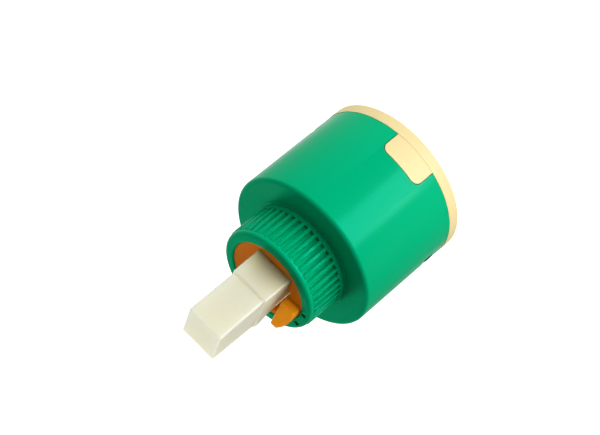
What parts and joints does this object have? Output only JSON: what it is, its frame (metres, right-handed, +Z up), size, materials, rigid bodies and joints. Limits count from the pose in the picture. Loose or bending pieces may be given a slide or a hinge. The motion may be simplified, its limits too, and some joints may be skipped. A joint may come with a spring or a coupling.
{
  "type": "single-lever mixer cartridge",
  "caption": "Ceramic disc mixer cartridge for a single-lever tap, 40 mm barrel with splined neck, turning rotor and tilting square lever.",
  "frame": {"origin": "centre of the base's lower face, the face that seats in the tap body", "axes": "+Z up the barrel's axis towards the lever; the base's side lug points along -Y; the two locating pegs lie on X"},
  "size_m": [0.0401, 0.04, 0.0676],
  "materials": {
    "green_plastic": "moulded green plastic, smooth with a soft sheen",
    "cream_plastic": "moulded cream plastic, satin",
    "natural_plastic": "moulded off-white plastic, slightly translucent",
    "orange_plastic": "moulded orange plastic, slightly translucent",
    "white_plastic": "moulded white low-friction plastic",
    "grey_plastic": "moulded grey plastic",
    "ceramic": "lapped alumina ceramic, off-white",
    "black_rubber": "moulded black rubber",
    "steel": "ground stainless steel"
  },
  "bodies": {
    "body": {"housing": "green_plastic", "base": "cream_plastic", "fixed_disc": "ceramic", "cold_disc_seal": "black_rubber", "hot_disc_seal": "black_rubber", "outlet_disc_seal": "black_rubber", "cold_base_seal": "black_rubber", "hot_base_seal": "black_rubber", "outlet_base_seal": "black_rubber", "slide_ring": "white_plastic"},
    "turret": {"rotor": "orange_plastic", "lever_pin": "steel", "rotor_oring": "black_rubber"},
    "handle": {"lever": "natural_plastic"},
    "carriage": {"disc_carrier": "white_plastic", "carrier_gasket": "black_rubber", "moving_disc": "ceramic", "noise_screen": "grey_plastic"}
  },
  "joints": [
    {"name": "rotor_turn", "type": "hinge", "parent": "body", "child": "turret", "pos_m": [0, 0, 0.035], "axis": [0, 0, 1], "range_deg": [-60.2, 39.8]},
    {"name": "lever_tilt", "type": "hinge", "parent": "turret", "child": "handle", "pos_m": [0, 0, 0.0355], "axis": [-0.9842, -0.1771, 0], "range_deg": [0, 25]},
    {"name": "disc_slide", "type": "slide", "parent": "turret", "child": "carriage", "axis": [0.1771, -0.9842, 0], "range_m": [0, 0.0068]}
  ],
  "couplings": [
    {"joint": "disc_slide", "follows": "lever_tilt", "m_per_rad": 0.015377}
  ]
}
